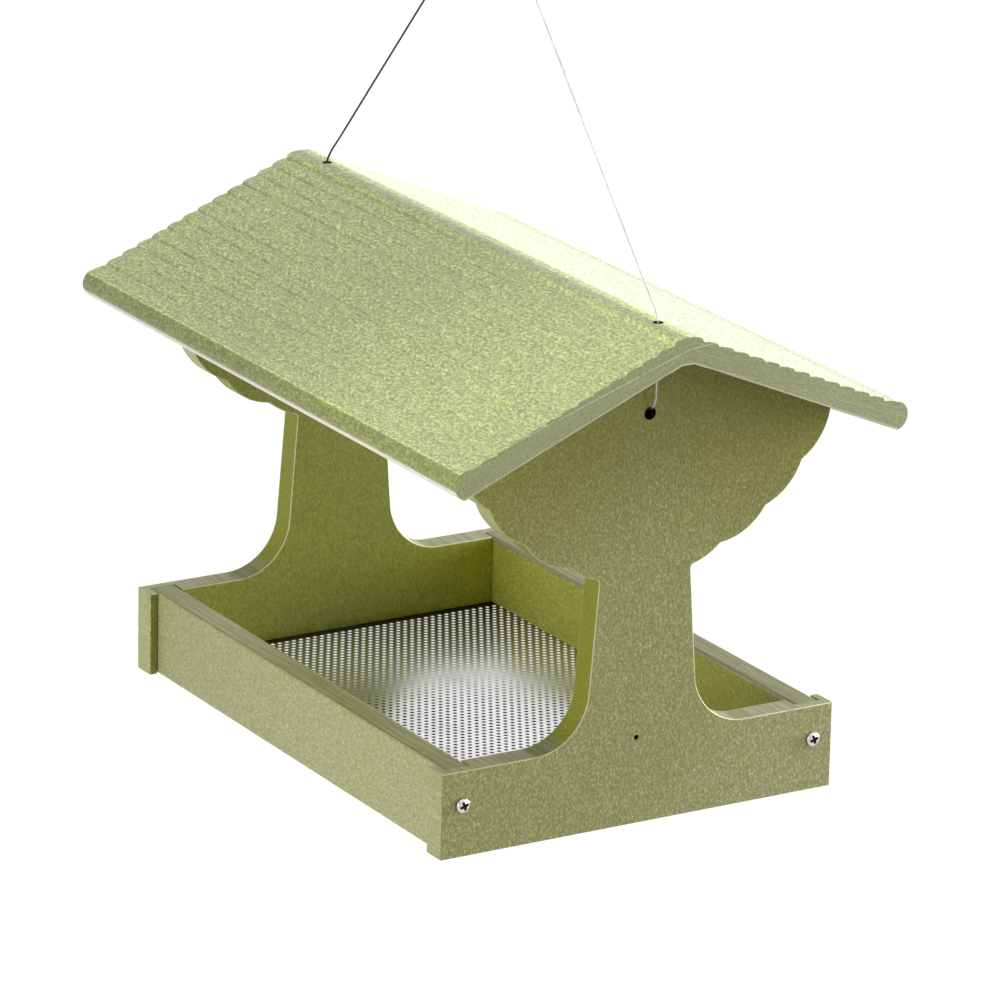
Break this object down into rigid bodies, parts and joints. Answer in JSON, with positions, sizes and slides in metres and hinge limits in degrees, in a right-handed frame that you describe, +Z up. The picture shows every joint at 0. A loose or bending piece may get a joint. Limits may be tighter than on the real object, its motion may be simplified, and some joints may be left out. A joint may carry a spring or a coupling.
{
  "type": "fly-through bird feeder",
  "caption": "Hanging fly-through bird feeder: scallop-headed end panels carry a shingled gable roof over a shallow tray with a perforated metal floor, on a wire loop.",
  "frame": {"origin": "the point where the cable hangs on its hook, above the middle of the ridge", "axes": "+Z up, +X along the ridge towards the right end panel, +Y towards the back side rail"},
  "size_m": [0.43, 0.2894, 0.4927],
  "materials": {
    "board_plastic": "olive green recycled plastic board, finely mottled, satin, with paler sawn edges",
    "roof_plastic": "light yellow-green extruded plastic with fine streaks along the ridge, satin",
    "perforated_metal": "bright perforated sheet",
    "steel_cable": "stranded stainless cable",
    "steel_fittings": "bright stainless"
  },
  "bodies": {
    "tray": {"right_end_panel": "board_plastic", "left_end_panel": "board_plastic", "front_side_rail": "board_plastic", "back_side_rail": "board_plastic", "mesh_floor": "perforated_metal", "hanging_cable": "steel_cable", "right_cable_tail": "steel_cable", "left_cable_tail": "steel_cable", "right_cable_washer": "steel_fittings", "left_cable_washer": "steel_fittings", "right_cable_stop": "steel_fittings", "left_cable_stop": "steel_fittings", "right_front_screw": "steel_fittings", "right_back_screw": "steel_fittings", "left_front_screw": "steel_fittings", "left_back_screw": "steel_fittings"},
    "roof": {"roof": "roof_plastic"}
  },
  "joints": [
    {"name": "roof_lift", "type": "slide", "parent": "tray", "child": "roof", "axis": [0, 0, 1], "range_m": [0, 0.085], "deforming": ["hanging_cable"]}
  ]
}
